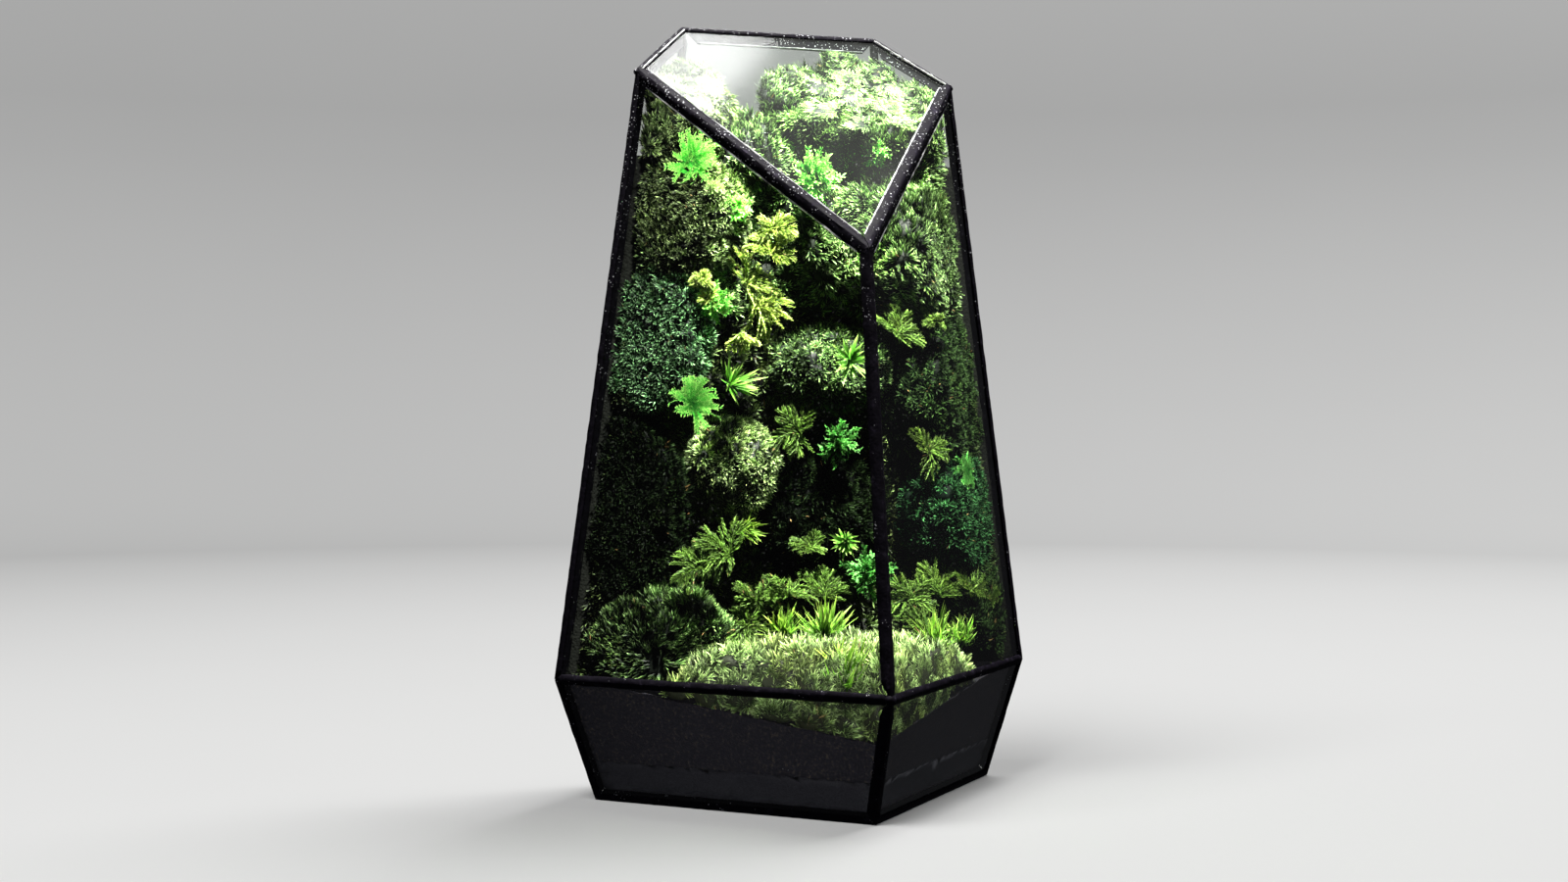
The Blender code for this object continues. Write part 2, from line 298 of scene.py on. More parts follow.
def blades(base, aim, side, length, width, curl, rows):
    """Pointed leaves: points, triangles, and how far along its leaf each point is.

    All but the last argument have a row or a number for each leaf. A leaf starts at base along aim, bends by
    curl radians square to its flat side, is widest before its middle, and has rows of points in between.
    """
    count = len(base)
    along = np.linspace(0, 1, rows + 2)
    places, headings = arc(base, aim, np.cross(side, aim), length, curl, along)
    half = width[:, None] / 2 * np.sin(math.pi * along**0.75)
    folded = np.cross(side[:, None], headings) * (half * FOLD)[..., None]
    ring = np.empty((count, 2 * rows + 2, 3))
    ring[:, 0], ring[:, -1] = places[:, 0], places[:, -1]
    for k in range(1, rows + 1):
        offset = side * half[:, k, None]
        ring[:, 2 * k - 1] = places[:, k] + offset + folded[:, k]
        ring[:, 2 * k] = places[:, k] - offset + folded[:, k]
    share = np.concatenate(([0.0], np.repeat(along[1:-1], 2), [1.0]))
    pattern = [(0, 1, 2)]
    for k in range(1, 2 * rows - 1, 2):
        pattern += [(k, k + 2, k + 1), (k + 1, k + 2, k + 3)]
    pattern.append((2 * rows - 1, 2 * rows + 1, 2 * rows))
    starts = np.arange(count) * (2 * rows + 2)
    faces = (starts[:, None, None] + np.array(pattern)[None]).reshape(-1, 3)
    return ring.reshape(-1, 3), faces, np.tile(share, count)


class Foliage:
    """Gathers leaves and surfaces, then makes one mesh of them.

    Each point keeps its tip value, 0 at a leaf's root and 1 at its end, and its leaf's tone, partly random
    and, on the cushions, partly painted light and shade.
    """

    def __init__(self, seed, gap=GLASS_GAP):
        self.rng = np.random.default_rng(seed)
        self.gap = gap
        self.parts = []
        self.total = 0

    def add(self, points, faces, tips, tones):
        self.parts.append((points, faces + self.total, tips, tones))
        self.total += len(points)

    def add_surface(self, points, faces, tip):
        """The ground that leaves grow from: tip is one number, or one for each point."""
        self.add(points, faces, np.broadcast_to(tip, len(points)), np.full(len(points), 0.5))

    def add_leaves(self, base, aim, side, length, width, curl, rows, tone, tip_range=(0.0, 1.0)):
        """Blades with a tone each, and with tip values over the given range from root to end."""
        points, faces, place = blades(base, aim, side, length, width, curl, rows)
        low, high = tip_range
        self.add(points, faces, low + (high - low) * place, np.repeat(tone, 2 * rows + 2))

    def piece(self, name, material, slot, *replaced):
        """The finished plant, riding on the case."""
        points, faces, tips, tones = map(np.concatenate, zip(*self.parts))
        points = keep_inside(points, self.gap)
        mesh = mesh_of(name, points, faces)
        for attribute, values in (("tip", tips), ("tone", tones)):
            layer = mesh.attributes.new(attribute, "FLOAT", "POINT")
            layer.data.foreach_set("value", values.astype(np.float32))
        mesh.validate()
        finished(name, mesh, material, slot, *replaced)


def mesh_of(name, points, faces):
    """A smooth mesh."""
    mesh = bpy.data.meshes.new(name)
    mesh.from_pydata(points.tolist(), [], faces.tolist(), shade_flat=False)
    return mesh


def placed(name, data):
    """A new object in the scene."""
    thing = bpy.data.objects.new(name, data)
    bpy.context.scene.collection.objects.link(thing)
    return thing


def finished(name, mesh, material, slot, *replaced):
    """A new piece of the object: its mesh, material, body and the CAD nodes it stands for. The slot is not
    used.
    """
    piece = placed(name, mesh)
    mesh.materials.append(material)
    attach(piece, "root")
    if replaced:
        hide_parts(*replaced)


def tufted(plant, centres, axes, leaves, length, width, lean, curl, tones, rows=1, scattered=0.15 * MM):
    """Small shoots: a ring of leaves round each axis, leaning out by an angle in the range lean.

    Each shoot has its own tone; the other ranges are drawn from once for every leaf.
    """
    rng = plant.rng
    count = len(centres)
    total = count * leaves
    axis = np.repeat(axes, leaves, axis=0)
    ring_x = np.repeat(across(axes, rng.normal(size=(count, 3))), leaves, axis=0)
    angle = math.tau * (np.tile(np.arange(leaves), count) + rng.random(total) * 0.8) / leaves
    outward = turned(ring_x, np.cross(axis, ring_x), angle)
    aim = turned(axis, outward, rng.uniform(*lean, total))
    side = across(aim, np.cross(aim, outward) + rng.normal(size=(total, 3)) * 0.2)
    scale = np.repeat(rng.uniform(0.75, 1.2, count), leaves)
    tone = np.repeat(np.broadcast_to(tones, count), leaves) + rng.normal(size=total) * 0.2
    tone = np.where(rng.random(total) < WITHERED, 0.0, np.clip(tone, 0.03, 1))
    base = np.repeat(centres, leaves, axis=0) + rng.normal(size=(total, 3)) * scattered
    lengths = scale * rng.uniform(*length, total)
    widths = scale * rng.uniform(*width, total)
    plant.add_leaves(base, aim, side, lengths, widths, rng.uniform(*curl, total), rows, tone)


def clothed(plant, base, aim, lift, length, curl, steps):
    """Bent stems covered in small leaves, which stand in rows."""
    rng = plant.rng
    along = np.linspace(0.06, 1.0, steps)
    places, headings = arc(base, aim, lift, length, curl, along)
    flank = np.cross(aim, lift)
    upward = np.cross(flank[:, None], headings)
    stem_tone = rng.uniform(0.35, 0.95, len(base))
    size = np.tile(1 - 0.5 * along**2, len(base))
    leaf_length, leaf_width = FROND_LEAF
    for angle in STEM_ROWS:
        outward = turned(flank[:, None], upward, angle).reshape(-1, 3)
        aimed = turned(headings.reshape(-1, 3), outward, STEM_LEAN + rng.normal(size=len(size)) * 0.2)
        varied = size * rng.uniform(0.75, 1.2, len(size))
        tone = np.clip(np.repeat(stem_tone, steps) + rng.normal(size=len(size)) * 0.2, 0, 1)
        side = across(aimed, np.cross(aimed, outward))
        bend = rng.uniform(-0.4, 0.3, len(size))
        plant.add_leaves(places.reshape(-1, 3), aimed, side, varied * leaf_length, varied * leaf_width,
                         bend, 1, tone)
    stems = np.full(len(base), 0.5 * leaf_width)
    plant.add_leaves(base, aim, flank, length, stems, curl, 3, stem_tone, (0.1, 0.6))


def fronds(plant, base, aim, lift, length, curl, finger_length):
    """Flat fronds: a bent stem with pairs of leafy fingers, longest in the middle."""
    rng = plant.rng
    fingers = 4
    along = np.linspace(0.2, 0.92, fingers)
    places, headings = arc(base, aim, lift, length, curl, along)
    flank = np.cross(aim, lift)
    count = len(base) * fingers
    angle = np.radians(64) - np.radians(30) * along
    shape = np.sin(math.pi * (0.25 + 0.6 * along))
    for hand in (-1, 1):
        way = turned(headings, hand * flank[:, None], angle).reshape(-1, 3)
        way = unit(way + rng.normal(size=(count, 3)) * 0.13)
        bend = across(way, np.repeat(lift, fingers, axis=0) + headings.reshape(-1, 3))
        reach = finger_length * np.tile(shape, len(base)) * rng.uniform(0.75, 1.15, count)
        bows = rng.uniform(0.1, 0.9, count)
        clothed(plant, places.reshape(-1, 3), way, bend, reach, bows, FINGER_STEPS)
    clothed(plant, base, aim, lift, length, curl, 2 * FINGER_STEPS)


# ---- materials


class Nodes:
    """A material's node tree, with short calls for its nodes."""

    def __init__(self, name):
        self.material = bpy.data.materials.new(name)
        self.material.use_nodes = True
        self.tree = self.material.node_tree
        self.tree.nodes.clear()
        self.place = self.add("TexCoord", "Object")

    def link(self, value, socket):
        """Sets a number or a tuple on a socket, and joins anything else to it."""
        if isinstance(value, tuple) and socket.type == "RGBA":
            value = (*value, 1)
        if isinstance(value, (int, float, tuple)):
            socket.default_value = value
        else:
            self.tree.links.new(value, socket)

    def new(self, kind, *values, **settings):
        """A new node. The values go to its sockets in their order."""
        node = self.tree.nodes.new("ShaderNode" + kind)
        for key, value in settings.items():
            setattr(node, key, value)
        for socket, value in zip(node.inputs, values):
            self.link(value, socket)
        return node

    def add(self, kind, output, **sockets):
        """The named output of a new node, whose sockets are fed by their names."""
        node = self.new(kind)
        for key, value in sockets.items():
            self.link(value, node.inputs[key.replace("_", " ")])
        return node.outputs[output]

    def noise(self, scale, detail=3.0, stretch=None):
        """Noise from 0 to 1 with so many features to the metre, stretched by the three factors."""
        place = self.add("Mapping", "Vector", Vector=self.place, Scale=stretch) if stretch else self.place
        return self.add("TexNoise", "Fac", Vector=place, Scale=scale, Detail=detail, Roughness=0.55)

    def cells(self, scale):
        """The distance to the nearest of scattered spots."""
        return self.add("TexVoronoi", "Distance", Vector=self.place, Scale=scale)

    def attribute(self, name):
        return self.new("Attribute", attribute_name=name).outputs["Fac"]

    def ramp(self, value, *stops):
        """Colours, or grey levels, at places along a value."""
        node = self.new("ValToRGB")
        elements = node.color_ramp.elements
        while len(elements) < len(stops):
            elements.new(0.5)
        for element, (place, colour) in zip(elements, stops):
            element.position = place
            element.color = (*colour, 1) if isinstance(colour, tuple) else (colour, colour, colour, 1)
        self.link(value, node.inputs["Fac"])
        return node.outputs["Color"]

    def span(self, value, low, high, to_low=0.0, to_high=1.0):
        """The value's place from low to high, carried over to the range from to_low to to_high."""
        return self.new("MapRange", value, low, high, to_low, to_high).outputs["Result"]

    def mix(self, share, first, second, blend="MIX"):
        node = self.new("Mix", share, data_type="RGBA", blend_type=blend)
        for socket, colour in zip([s for s in node.inputs if s.type == "RGBA"], (first, second)):
            self.link(colour, socket)
        return next(socket for socket in node.outputs if socket.type == "RGBA")

    def maths(self, operation, first, second):
        return self.new("Math", first, second, operation=operation).outputs["Value"]

    def bump(self, height, distance, strength=1.0):
        return self.add("Bump", "Normal", Height=height, Distance=distance, Strength=strength)

    def surface(self, colour, roughness, **sockets):
        return self.add("BsdfPrincipled", "BSDF", Base_Color=colour, Roughness=roughness, **sockets)

    def blend(self, share, first, second):
        return self.new("MixShader", share, first, second).outputs["Shader"]

    def output(self, shader):
        """The finished material, with this shader on its surface."""
        self.new("OutputMaterial", shader)
        return self.material

    def finish(self, colour, rough, relief, **sockets):
        """The finished material with one Principled shader. Span is given rough, and bump relief."""
        return self.output(self.surface(colour, self.span(*rough), Normal=self.bump(*relief), **sockets))


# The colours of each kind of leaf at its root, in its middle and at its tip, and of its patches. The tints
# shade, dusk
# and dark are darker copies of one moss: painted shade for the cushions that lie in shadow.
MOSS_TINTS = {
    "bright": ((0.004, 0.009, 0.003), (0.075, 0.15, 0.022), (0.74, 1, 0.4), (0.95, 1, 0.6)),
    "deep": ((0.003, 0.008, 0.002), (0.046, 0.115, 0.017), (0.54, 0.88, 0.28), (0.95, 1, 0.6)),
    "shade": ((0.002, 0.005, 0.002), (0.028, 0.075, 0.012), (0.34, 0.58, 0.17), (0.95, 1, 0.6)),
    "dusk": ((0.002, 0.004, 0.002), (0.01, 0.028, 0.005), (0.11, 0.22, 0.06), (0.95, 1, 0.6)),
    "dark": ((0.001, 0.002, 0.001), (0.003, 0.007, 0.002), (0.02, 0.04, 0.011), (1.1, 1, 0.6)),
    "emerald": ((0.001, 0.005, 0.002), (0.008, 0.045, 0.011), (0.11, 0.36, 0.11), (0.8, 1, 0.9)),
    "cool": ((0.003, 0.009, 0.004), (0.034, 0.13, 0.034), (0.46, 0.95, 0.38), (0.85, 1, 0.85)),
    "pale": ((0.014, 0.018, 0.008), (0.11, 0.19, 0.045), (0.54, 0.74, 0.28), (1.1, 0.97, 0.65)),
    "fill": ((0.003, 0.005, 0.002), (0.025, 0.045, 0.01), (0.16, 0.25, 0.07), (1.2, 0.95, 0.5)),
    "fern": ((0.02, 0.04, 0.005), (0.24, 0.41, 0.04), (0.74, 0.88, 0.26), (1.1, 0.95, 0.7)),
    "frond": ((0.006, 0.014, 0.002), (0.058, 0.13, 0.012), (0.22, 0.36, 0.08), (1.1, 0.95, 0.7)),
    "dyed": ((0.006, 0.1, 0.008), (0.08, 0.62, 0.05), (0.6, 1, 0.24), (0.8, 1, 0.8)),
    "jade": ((0.002, 0.03, 0.003), (0.018, 0.19, 0.015), (0.18, 0.46, 0.1), (0.8, 1, 0.8)),
    "star": ((0.02, 0.08, 0.006), (0.06, 0.2, 0.016), (0.29, 0.49, 0.1), (0.95, 1, 0.8)),
    "grass": ((0.03, 0.09, 0.006), (0.14, 0.38, 0.022), (0.48, 0.78, 0.13), (1.2, 0.95, 0.6)),
}
SHEER = ("fern", "frond", "dyed", "jade", "star", "grass")  # the tints that let much light through
MATT = ("dark", "dusk", "emerald")


def leaf_material(tint):
    """Moss or fern: dark at a leaf's root, partly as painted shade down among the shoots, and pale at its
    tip, with patches of an accent colour.

    A leaf is the darker the lower its tone, and one with no tone is dead and brown. On the cushions the tone
    also carries painted light and shade.
    """
    root, body, tip, accent = MOSS_TINTS[tint]
    nodes = Nodes("moss_" + tint)
    tone = nodes.attribute("tone")
    colour = nodes.ramp(nodes.attribute("tip"), (0.12, root), (0.55, body), (0.95, tip))
    patch = nodes.maths("MULTIPLY", nodes.span(nodes.noise(55.0, 2.0), 0.5, 0.68), 0.6)
    colour = nodes.mix(patch, colour, nodes.mix(1.0, colour, accent, "MULTIPLY"))
    colour = nodes.mix(1.0, colour, nodes.ramp(tone, (0.0, 0.05), (0.5, 0.38), (1.0, 1.0)), "MULTIPLY")
    dead = nodes.span(tone, 0.02, 0.01)
    colour = nodes.mix(dead, colour, (0.16, 0.10, 0.04))
    grain = nodes.noise(2600.0, 2.0)
    normal = nodes.bump(grain, 0.1 * MM, 0.35)
    shine = 0.02 if tint in MATT else 0.12
    roughness = nodes.span(grain, 0.3, 0.7, 0.52, 0.77)
    leaf = nodes.surface(colour, roughness, Normal=normal, Specular_IOR_Level=shine)
    through = nodes.add("BsdfTranslucent", "BSDF", Color=colour, Normal=normal)
    return nodes.output(nodes.blend(0.4 if tint in SHEER else 0.15, leaf, through))


def glass_material(name, tint, dust, haze=0.0, blur=0.03):
    """Clear sheet glass with its Fresnel mirror, some dust and a film of haze."""
    nodes = Nodes(name)
    streak = nodes.noise(18.0, 4.0, (1.0, 1.0, 0.6))
    clear = nodes.add("BsdfTransparent", "BSDF", Color=tint)
    mirror = nodes.add("BsdfGlossy", "BSDF", Roughness=nodes.span(streak, 0.35, 0.7, 0.7 * blur, 1.4 * blur))
    outside = nodes.maths("SUBTRACT", 1.0, nodes.add("NewGeometry", "Backfacing"))
    share = nodes.maths("MULTIPLY", nodes.add("Fresnel", "Fac", IOR=1.45), outside)
    pane = nodes.blend(share, clear, mirror)
    specks = nodes.span(nodes.cells(420.0), 0.16, 0.05)
    specks = nodes.maths("MULTIPLY", specks, nodes.span(nodes.noise(70.0, 2.0), 0.5, 0.7))
    film = nodes.span(streak, 0.4, 0.75, haze * 0.4, haze)
    soiled = nodes.maths("MAXIMUM", nodes.maths("MULTIPLY", specks, dust), film)
    return nodes.output(nodes.blend(soiled, pane, nodes.surface((0.75, 0.78, 0.76), 0.8)))


def solder_material():
    """Blackened solder: near black with a violet cast, and small pale spots, partly bare tin and partly
    painted glints, most of them high up, where the light falls.
    """
    nodes = Nodes("blackened_solder")
    patina = nodes.noise(260.0, 5.0)
    black, grey, bright = (0.003, 0.0022, 0.0045), (0.008, 0.006, 0.012), (0.045, 0.037, 0.06)
    dark = nodes.ramp(patina, (0.3, black), (0.6, grey), (0.8, bright))
    # painted glints: pale spots, partly bare tin and partly standing in for highlights, fewer low down and
    # more high up where the light falls
    spots = nodes.span(nodes.cells(820.0), 0.27, 0.12)
    glint_threshold = nodes.span(nodes.add("SeparateXYZ", "Z", Vector=nodes.place), 0.17, 0.31, 0.60, 0.40)
    worn = nodes.span(nodes.maths("SUBTRACT", nodes.noise(190.0, 2.0), glint_threshold), 0.0, 0.1)
    colour = nodes.mix(nodes.maths("MULTIPLY", spots, worn), dark, (0.85, 0.85, 0.92))
    lumps = nodes.mix(0.4, nodes.noise(900.0, 4.0), nodes.noise(300.0, 3.0))
    rough = (patina, 0.3, 0.75, 0.55, 0.8)
    return nodes.finish(colour, rough, (lumps, 0.35 * MM, 0.8), Specular_IOR_Level=0.08)


def bare_metal_and_glint():
    """Tinned edges that the black finish has worn off, dull in patches; their pale colour is partly a
    painted highlight along the seams' edges.
    """
    nodes = Nodes("bare_solder")
    wear = nodes.noise(240.0, 4.0)
    black, dull, bright = (0.02, 0.018, 0.024), (0.45, 0.45, 0.47), (0.95, 0.95, 0.96)
    colour = nodes.ramp(wear, (0.34, black), (0.42, dull), (0.6, bright))
    return nodes.finish(colour, (wear, 0.4, 0.65, 0.6, 0.4), (nodes.noise(1200.0), 0.1 * MM), Metallic=0.3)


def soil_material():
    """Near-black crumbs, with blacker clods."""
    nodes = Nodes("dark_soil")
    grain = nodes.noise(900.0, 6.0)
    clods = nodes.span(nodes.noise(160.0, 3.0), 0.45, 0.65, 0.0, 0.5)
    black, dark, brown = (0.0012, 0.0012, 0.0018), (0.0032, 0.003, 0.0045), (0.016, 0.013, 0.010)
    colour = nodes.ramp(grain, (0.3, black), (0.55, dark), (0.72, brown))
    colour = nodes.mix(clods, colour, (0.0022, 0.0021, 0.0032))
    rough = (grain, 0.3, 0.7, 0.75, 0.95)
    return nodes.finish(colour, rough, (grain, 0.5 * MM), Specular_IOR_Level=0.05)


def foam_material():
    """Dark foam with brown fibres, and blacker where its tip value is 0."""
    nodes = Nodes("dark_foam")
    fibre = nodes.noise(850.0, 5.0, (1.0, 1.0, 0.22))
    black, dark, brown = (0.008, 0.009, 0.007), (0.022, 0.022, 0.014), (0.10, 0.08, 0.045)
    fibrous = nodes.ramp(fibre, (0.34, black), (0.54, dark), (0.74, brown))
    colour = nodes.mix(nodes.attribute("tip"), (0.0015, 0.0018, 0.0012), fibrous)
    pitted = nodes.mix(0.5, fibre, nodes.cells(900.0))
    rough = (fibre, 0.3, 0.7, 0.8, 0.98)
    return nodes.finish(colour, rough, (pitted, 0.4 * MM), Specular_IOR_Level=0.05)


def board_material():
    """Black board with a fine speckle and faint smears."""
    nodes = Nodes("black_foam_board")
    speckle = nodes.noise(1400.0, 4.0)
    smear = nodes.noise(30.0, 3.0, (1.0, 1.0, 4.0))
    colour = nodes.ramp(speckle, (0.35, (0.002, 0.002, 0.0028)), (0.7, (0.006, 0.006, 0.0075)))
    colour = nodes.mix(nodes.span(smear, 0.5, 0.8, 0.0, 0.35), colour, (0.01, 0.01, 0.0115))
    rough = (smear, 0.3, 0.7, 0.6, 0.85)
    return nodes.finish(colour, rough, (speckle, 0.1 * MM), Specular_IOR_Level=0.04)


LEAF = {tint: leaf_material(tint) for tint in MOSS_TINTS}
SOLDER = solder_material()
BARE_AND_GLINT = bare_metal_and_glint()


# ---- moss cushions


# How moss grows: the width and height of its domes, its shoots' spacing, the ranges of its leaves' length
# and width (all in millimetres), how far they lean out, how far they are combed to one side, and how many
# leaves a shoot has.
Habit = namedtuple("Habit", "dome relief spacing length width lean sweep leaves")
FINE = Habit(14, 4.6, 1.8, (2.5, 4.2), (0.42, 0.66), (0.1, 0.85), 0.8, 11)  # short and dense
SWEPT = Habit(17, 4.8, 1.9, (3.4, 5.8), (0.46, 0.7), (0.05, 0.6), 1.6, 10)  # longer, and lying one way
STARRY = Habit(11, 4.0, 2.3, (2.6, 4.2), (0.42, 0.6), (0.3, 1.35), 0.3, 15)  # small spreading stars
COARSE = Habit(18, 6.5, 2.5, (4.0, 7.0), (0.65, 0.95), (0.1, 0.9), 1.1, 10)  # the carpet
THIN = Habit(15, 9.0, 2.6, (3.4, 5.6), (0.6, 0.9), (0.1, 0.9), 0.8, 9)  # over the foam

TOP_CUSHIONS = ("moss_top_left", "moss_top_right")
# painted shade: the lower and inner cushions that lie in shadow get the darker tints shade, dusk and dark
CUSHIONS = {
    "moss_top_left": (SWEPT, "bright"),
    "moss_upper_left": (FINE, "bright"),
    "moss_middle_left": (STARRY, "cool"),
    "moss_low_left": (FINE, "dark"),
    "moss_floor_left": (SWEPT, "shade"),
    "moss_centre_left": (FINE, "bright"),
    "moss_top_right": (SWEPT, "deep"),
    "moss_upper_right": (SWEPT, "deep"),
    "moss_centre": (STARRY, "shade"),
    "moss_low_centre": (FINE, "dark"),
    "moss_middle_right": (STARRY, "dusk"),
    "moss_low_right": (STARRY, "emerald"),
    "moss_floor_right": (SWEPT, "dusk"),
}


def moss_on(plant, points, faces, habit, weights, seed, sink=0.4 * MM, room=0.4 * MM, dull=0.0):
    """Raises domes on a surface and covers it with leafy shoots, spread by the triangles' weights.

    The surface sinks first and keeps room to the glass. The leaves' tones hold painted shade and light: they
    are darker in the creases between the domes, lighter on the side facing the light and darker away from
    it, and darker within dull of the walls.
    """
    rng = plant.rng
    centres = spread(points, habit.dome * MM * 0.8, rng)
    dome = mounds(points, centres)
    outward = normals_of(points, faces)
    swell = habit.relief * MM * (dome - 0.7) + 0.6 * MM * waves(points, 5 * MM, seed)
    points = keep_inside(points + outward * (swell - sink)[:, None], room)
    outward = normals_of(points, faces)
    # the ground under the leaves takes the near-black root colour, partly painted shade
    plant.add_surface(points, faces, 0.02 + 0.10 * dome)
    area = norm(face_vectors(points, faces), axis=1) / 2
    count = int((area * weights).sum() / (habit.spacing * MM) ** 2)
    chosen, shares = scatter(points, faces, weights, count, rng)
    base = read_at(points, faces, chosen, shares)
    out = unit(read_at(outward, faces, chosen, shares))
    comb = np.stack([waves(base, 22 * MM, seed + 10 + k) for k in range(3)], axis=1) * habit.sweep
    combed = across(out, comb) * norm(comb, axis=1)[:, None]
    axis = unit(out + 0.8 * combed + 0.2 * UP + rng.normal(size=base.shape) * 0.2)
    # painted shade: leaves low in the creases between domes get less tone
    height = np.clip(read_at(dome, faces, chosen, shares) * 1.3 - 0.15, 0.12, 1)
    tones = 0.55 + 0.32 * waves(base, 5 * MM, seed + 20) + 0.2 * rng.normal(size=count)
    # painted light and shade: leaves facing the lit side get more tone, those facing away less
    tones *= np.clip(0.6 + 0.75 * out @ PAINTED_LIGHT_SIDE, 0.15, 1.4)
    # painted shade: leaves within dull of the side walls get less tone
    if dull:
        gaps = [distance - base @ normal for normal, distance in PANES if abs(normal[2]) < 0.6]
        tones *= np.clip(np.min(gaps, axis=0) / dull, 0.1, 1)
    length, width = np.multiply((habit.length, habit.width), MM)
    tufted(plant, base, axis, habit.leaves, length, width, habit.lean, (-0.5, 0.6), tones * height)


def shouldered(points):
    """The top right cushion's points, with the upper left corner of its outline drawn in."""
    low, high = points.min(axis=0), points.max(axis=0)
    middle = (low + high) / 2
    offset = (points - middle) / ((high - low) / 2)
    reach = np.hypot(offset[:, 0], offset[:, 2])
    corner = (reach > 1) & (offset[:, 0] < 0) & (offset[:, 2] > -0.3)
    shrink = np.where(corner, 1 / np.maximum(reach, 1), 1.0)
    points = points.copy()
    points[:, 0::2] = middle[0::2] + (points[:, 0::2] - middle[0::2]) * shrink[:, None]
    return points


def cushion(name, habit, tint, seed):
    """One mound of moss, with no shoots on its back, against the foam."""
    plant = Foliage(seed)
    points, faces = refined(name, 3.0 * MM)
    facing = unit(face_vectors(points, faces))
    hidden = (facing[:, 1] > 0.55) & (points[faces[:, 0], 1] < AXIS_Y + 1 * MM)
    weights = np.where(hidden, 0.0, 1.0)
    if name == "moss_top_right":
        points = shouldered(points)
    # the top cushions get no painted shade near the walls
    limits = {} if name in TOP_CUSHIONS else {"room": 2.5 * MM, "dull": 6 * MM}
    moss_on(plant, points, faces, habit, weights, seed, **limits)
    plant.piece(name.replace("moss_", "cushion_"), LEAF[tint], "cushion_moss", name)


def carpet():
    """The bed of pale moss, whose ends and front edge slope down."""
    seed = 50
    plant = Foliage(seed, 1.2 * MM)
    points, faces = refined("moss_carpet", 3.0 * MM)
    low, high = box_of("moss_carpet")
    share = (points - low) / (high - low)
    rise = np.clip(2.5 * share[:, 2] - 1.0, 0, 1)
    edge = np.abs(2 * share[:, 0] - 1) ** 3 * 0.8 + (1 - share[:, 1]) ** 4 * 0.5
    points[:, 2] -= 11 * MM * rise * np.minimum(edge, 1)
    facing = unit(face_vectors(points, faces))
    weights = np.where(facing[:, 2] < -0.5, 0.0, 1.0)
    moss_on(plant, points, faces, COARSE, weights, seed)
    plant.piece("carpet_moss", LEAF["pale"], "pale_moss", "moss_carpet")


def filling(name, points, faces, tip, *what):
    """A piece without leaves. The rest is its material, its slot and the node that it replaces."""
    lump = Foliage(0)
    lump.add_surface(points, faces, tip)
    lump.piece(name, *what)


def foam_block():
    """The dark foam that carries the moss, blackest at its front."""
    points, faces = refined("foam_core", 7.0 * MM)
    rough = waves(points, 9 * MM, 71) * 0.3 + waves(points, 3.5 * MM, 72) * 0.2
    skin = points + normals_of(points, faces) * (rough + 1.2)[:, None] * MM
    front = box_of("foam_core")[0][1]
    behind = np.clip((points[:, 1] - front) / (6 * MM), 0, 1)
    filling("foam_block", settled(skin), faces, behind, foam_material(), "dark_foam", "foam_core")


def uncovered(points):
    """Which points of the foam no cushion hides from the front."""
    seen = np.ones(len(points), bool)
    for name in CUSHIONS:
        low, high = box_of(name)
        offset = (points - (low + high) / 2) / ((high - low) / 2)
        seen &= offset[:, 0] ** 2 + offset[:, 2] ** 2 > 0.55
    return seen


def saddle(points):
    """How much higher the moss stands between the two cushions at the top."""
    left, right = box_of("moss_top_left")[1], box_of("moss_top_right")[0]
    across_gap = (points[:, 0] - (left[0] + right[0]) / 2) / (11 * MM)
    height = (points[:, 2] - left[2] + 60 * MM) / (15 * MM)
    return 13 * MM * np.exp(-(across_gap**2)) * np.clip(height, 0, 1)


def backing_moss(name, tint, bottom, top, push, seed):
    """Thin moss over a band of the foam's front and top, which shows between the cushions."""
    points, faces = refined("foam_core", 4.0 * MM)
    facing = unit(face_vectors(points, faces))
    height = points[faces, 2].mean(axis=1)
    shown = ((facing[:, 1] < -0.5) | (facing[:, 2] > 0.5)) & (height >= bottom) & (height < top)
    faces = faces[shown & uncovered(points)[faces].any(axis=1)]
    used, faces = np.unique(faces, return_inverse=True)
    points, faces = points[used], faces.reshape(-1, 3)
    sink = -push - saddle(points)
    plant = Foliage(seed)
    # the backing moss gets painted shade within 10 mm of the walls
    moss_on(plant, points, faces, THIN, np.ones(len(faces)), seed, sink, room=5 * MM, dull=10 * MM)
    plant.piece(name, LEAF[tint], "cushion_moss")


def soil():
    """The lumpy soil in the lower part of the case."""
    points, faces = refined("soil_bed", 5.0 * MM)
    lumps = waves(points, 4 * MM, 81) * 0.35 + waves(points, 1.8 * MM, 82) * 0.3
    skin = points + normals_of(points, faces) * (lumps + 0.5)[:, None] * MM
    filling("soil", settled(skin, 0.9 * MM), faces, 0.0, soil_material(), "dark_soil", "soil_bed")


def board():
    """The foam board under the soil."""
    points, faces = refined("base_board", 8.0 * MM)
    skin = settled(points, 0.8 * MM)
    filling("foam_board", skin, faces, 0.0, board_material(), "black_foam_board", "base_board")


# ---- accent plants


PROUD = 3.0  # how many millimetres a small plant stands before its listed place
FULLER = 1.12  # its true radius as a share of the listed one, which is in millimetres


class Accent:
    """One small plant, so many millimetres before a host's box at shares of the box's width and height."""

    def __init__(self, host, right, up, forward, radius, facing=(0.0, -1.0, 0.35), tone=0.5):
        self.centre = spot(host, right, 0, up) - (0, (forward + PROUD) * MM, 0)
        self.radius = FULLER * radius * MM
        self.axis = unit(np.array(facing))
        self.tone = tone


